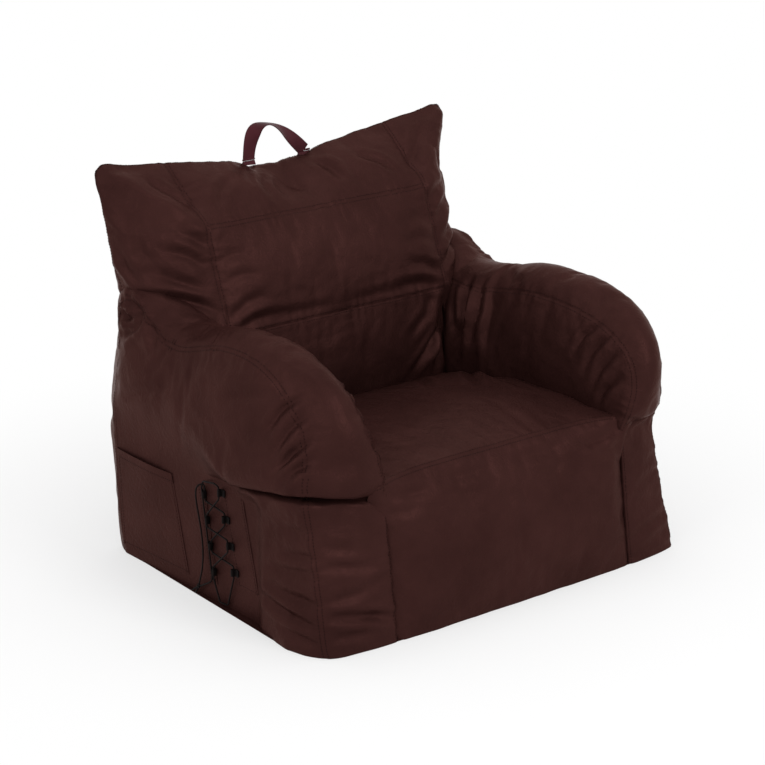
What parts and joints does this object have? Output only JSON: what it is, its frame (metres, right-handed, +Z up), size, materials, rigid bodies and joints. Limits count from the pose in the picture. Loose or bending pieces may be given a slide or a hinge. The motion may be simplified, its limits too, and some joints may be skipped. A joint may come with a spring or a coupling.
{
  "type": "bean bag chair",
  "caption": "Bean bag armchair in dark brown woven cloth, with bolster arms, a winged back, a seat between, a top carry handle, a laced slit and a patch pocket on one side.",
  "frame": {"origin": "on the floor, under the middle of the chair's outline", "axes": "+Z up; the chair faces -Y; +X is the sitter's left, and the laced side is at -X"},
  "size_m": [0.8767, 0.7822, 0.7692],
  "materials": {
    "cover_cloth": "satin",
    "bead_fill": "matte",
    "handle_webbing": "satin",
    "loop_webbing": "matte",
    "lace_cord": "matte",
    "zip_tape": "matte",
    "zip_coil": "satin",
    "zip_metal": "satin"
  },
  "bodies": {
    "chair": {"front_panel": "cover_cloth", "seat_panel": "cover_cloth", "lumbar_panel": "cover_cloth", "back_centre_panel": "cover_cloth", "back_top_panel": "cover_cloth", "rear_panel": "cover_cloth", "left_side_panel": "cover_cloth", "left_arm_band": "cover_cloth", "left_arm_inner_panel": "cover_cloth", "left_wing_panel": "cover_cloth", "right_side_panel": "cover_cloth", "right_arm_band": "cover_cloth", "right_arm_inner_panel": "cover_cloth", "right_wing_panel": "cover_cloth", "base_panel": "cover_cloth", "side_pocket": "cover_cloth", "side_pocket_hem": "cover_cloth", "front_placket": "cover_cloth", "rear_placket": "cover_cloth", "seat_bead_fill": "bead_fill", "back_bead_fill": "bead_fill", "left_arm_bead_fill": "bead_fill", "right_arm_bead_fill": "bead_fill", "handle_anchors": "handle_webbing", "front_lace_loops": "loop_webbing", "rear_lace_loops": "loop_webbing", "lace": "lace_cord", "lace_end_long": "lace_cord", "lace_end_short": "lace_cord", "lace_knot": "lace_cord", "zip_tape_upper": "zip_tape", "zip_tape_lower": "zip_tape", "zip_coil_upper": "zip_coil", "zip_coil_lower": "zip_coil", "zip_stops": "zip_metal"},
    "handle": {"carry_handle": "handle_webbing"},
    "slider": {"zip_slider": "zip_metal"}
  },
  "joints": [
    {"name": "handle_fold", "type": "hinge", "parent": "chair", "child": "handle", "pos_m": [0, 0.337, 0.702], "axis": [1, 0, 0], "range_deg": [-125, 90], "stiffness_Nm_per_rad": 0.05},
    {"name": "zip_run", "type": "slide", "parent": "chair", "child": "slider", "axis": [1, 0, 0], "range_m": [0, 0.496]}
  ]
}
